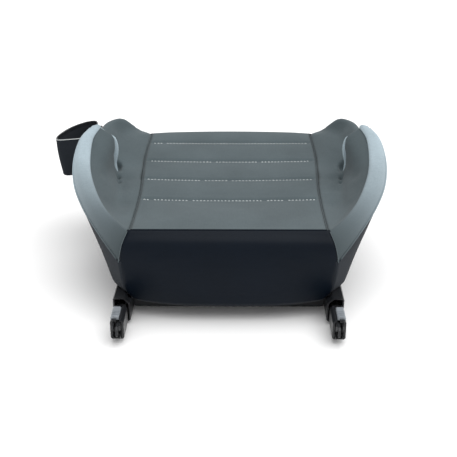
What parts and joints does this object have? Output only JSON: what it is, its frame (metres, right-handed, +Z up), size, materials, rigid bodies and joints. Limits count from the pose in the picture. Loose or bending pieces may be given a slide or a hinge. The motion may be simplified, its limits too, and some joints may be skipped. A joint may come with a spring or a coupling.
{
  "type": "booster seat",
  "caption": "Backless child booster seat with padded armrests, belt slots, a fold-up soft cup holder and retractable lower-anchorage connectors.",
  "frame": {"origin": "centre of the flat underside of the base plate, on the seat's plane of symmetry", "axes": "+X to the right when seen from the rear of the seat, +Y to the front of the seat, +Z up"},
  "size_m": [0.4901, 0.4443, 0.2065],
  "materials": {
    "grey_fabric": "knitted polyester, slate grey",
    "light_fabric": "light blue-grey mesh",
    "charcoal_fabric": "charcoal woven",
    "black_fabric": "near-black woven, slight sheen",
    "dark_plastic": "grained moulding",
    "black_plastic": "satin black",
    "silver_plastic": "silver paint",
    "steel": "zinc plated",
    "black_steel": "black plated",
    "rubber": "matt"
  },
  "bodies": {
    "seat": {"seat_cushion": "grey_fabric", "armrest_pad_left": "grey_fabric", "armrest_pad_right": "grey_fabric", "front_bolster_left": "grey_fabric", "front_bolster_right": "grey_fabric", "band_left": "light_fabric", "band_right": "light_fabric", "armrest_end_left": "light_fabric", "armrest_end_right": "light_fabric", "side_panel_left": "charcoal_fabric", "side_panel_right": "charcoal_fabric", "front_side_panel_left": "charcoal_fabric", "front_side_panel_right": "charcoal_fabric", "rear_panel": "black_fabric", "front_panel": "black_fabric", "seat_shell": "dark_plastic", "base_shell": "dark_plastic", "base_plate": "dark_plastic", "rail_guide_left": "black_plastic", "rail_guide_right": "black_plastic", "cup_bracket": "black_plastic", "cup_rivet_1": "black_plastic", "cup_rivet_2": "black_plastic", "lever_pin": "steel", "lever_spring": "steel", "cup_pin": "steel", "base_screw_1": "steel", "base_screw_2": "steel", "base_screw_3": "steel", "base_screw_4": "steel", "base_screw_5": "steel", "base_screw_6": "steel", "foot_pad_1": "rubber", "foot_pad_2": "rubber", "foot_pad_3": "rubber", "foot_pad_4": "rubber"},
    "isofix_frame": {"connector_arm_left": "steel", "connector_arm_right": "steel", "cross_bar": "steel", "slide_bar": "steel", "connector_body_left": "black_plastic", "connector_body_right": "black_plastic", "jaw_left": "black_steel", "jaw_right": "black_steel", "hook_pin_left": "black_steel", "hook_pin_right": "black_steel", "hook_spring_left": "black_steel", "hook_spring_right": "black_steel"},
    "latch_left": {"hook_left": "black_steel"},
    "latch_right": {"hook_right": "black_steel"},
    "button_left": {"release_button_left": "silver_plastic"},
    "button_right": {"release_button_right": "silver_plastic"},
    "lever": {"adjust_lever": "black_plastic"},
    "cup_holder": {"cup_pouch": "charcoal_fabric", "cup_hoop": "black_plastic"}
  },
  "joints": [
    {"name": "frame_slide", "type": "slide", "parent": "seat", "child": "isofix_frame", "axis": [0, 1, 0], "range_m": [0, 0.06]},
    {"name": "button_left_slide", "type": "slide", "parent": "isofix_frame", "child": "button_left", "axis": [0, 1, 0], "range_m": [0, 0.006], "stiffness_N_per_m": 400, "springref_m": -0.004},
    {"name": "latch_left_hinge", "type": "hinge", "parent": "isofix_frame", "child": "latch_left", "pos_m": [-0.14, -0.23, 0.024], "axis": [-1, 0, 0], "range_deg": [0, 26]},
    {"name": "button_right_slide", "type": "slide", "parent": "isofix_frame", "child": "button_right", "axis": [0, 1, 0], "range_m": [0, 0.006], "stiffness_N_per_m": 400, "springref_m": -0.004},
    {"name": "latch_right_hinge", "type": "hinge", "parent": "isofix_frame", "child": "latch_right", "pos_m": [0.14, -0.23, 0.024], "axis": [-1, 0, 0], "range_deg": [0, 26]},
    {"name": "lever_hinge", "type": "hinge", "parent": "seat", "child": "lever", "pos_m": [0, 0.095, 0.015], "axis": [1, 0, 0], "range_deg": [0, 6], "stiffness_Nm_per_rad": 0.8, "springref_deg": -17.19, "deforming": ["lever_spring"]},
    {"name": "cup_fold", "type": "hinge", "parent": "seat", "child": "cup_holder", "pos_m": [-0.2105, 0.128, 0.166], "axis": [0, 1, 0], "range_deg": [0, 70]}
  ],
  "couplings": [
    {"joint": "latch_left_hinge", "follows": "button_left_slide", "rad_per_m": 75},
    {"joint": "latch_right_hinge", "follows": "button_right_slide", "rad_per_m": 75}
  ]
}
